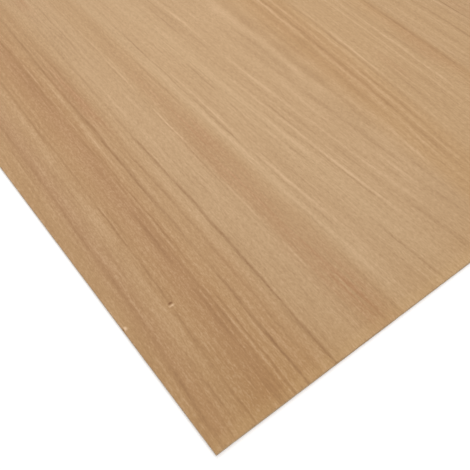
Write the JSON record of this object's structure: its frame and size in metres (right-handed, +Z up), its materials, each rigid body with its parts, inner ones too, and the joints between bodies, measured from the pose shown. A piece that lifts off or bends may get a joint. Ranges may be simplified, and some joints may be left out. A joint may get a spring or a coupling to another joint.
{
  "type": "plywood panel",
  "caption": "Flat rectangular panel of thin plywood: a fine hardwood show veneer and a back veneer glued to a thicker crossband whose grain runs across the panel.",
  "frame": {"origin": "centre of the underside, on the surface that the panel lies on", "axes": "+X along the panel's length and the grain of its outer veneers, +Y across the width, +Z up out of the show face"},
  "size_m": [1.22, 0.61, 0.0036],
  "materials": {
    "face_veneer": "sanded bare hardwood veneer, light tan with pinkish brown streaks",
    "crossband": "sawn end grain, slightly darker",
    "back_veneer": "sanded bare veneer, plainer than the show face"
  },
  "bodies": {
    "root": {"face_veneer": "face_veneer", "crossband": "crossband", "back_veneer": "back_veneer"}
  },
  "joints": []
}
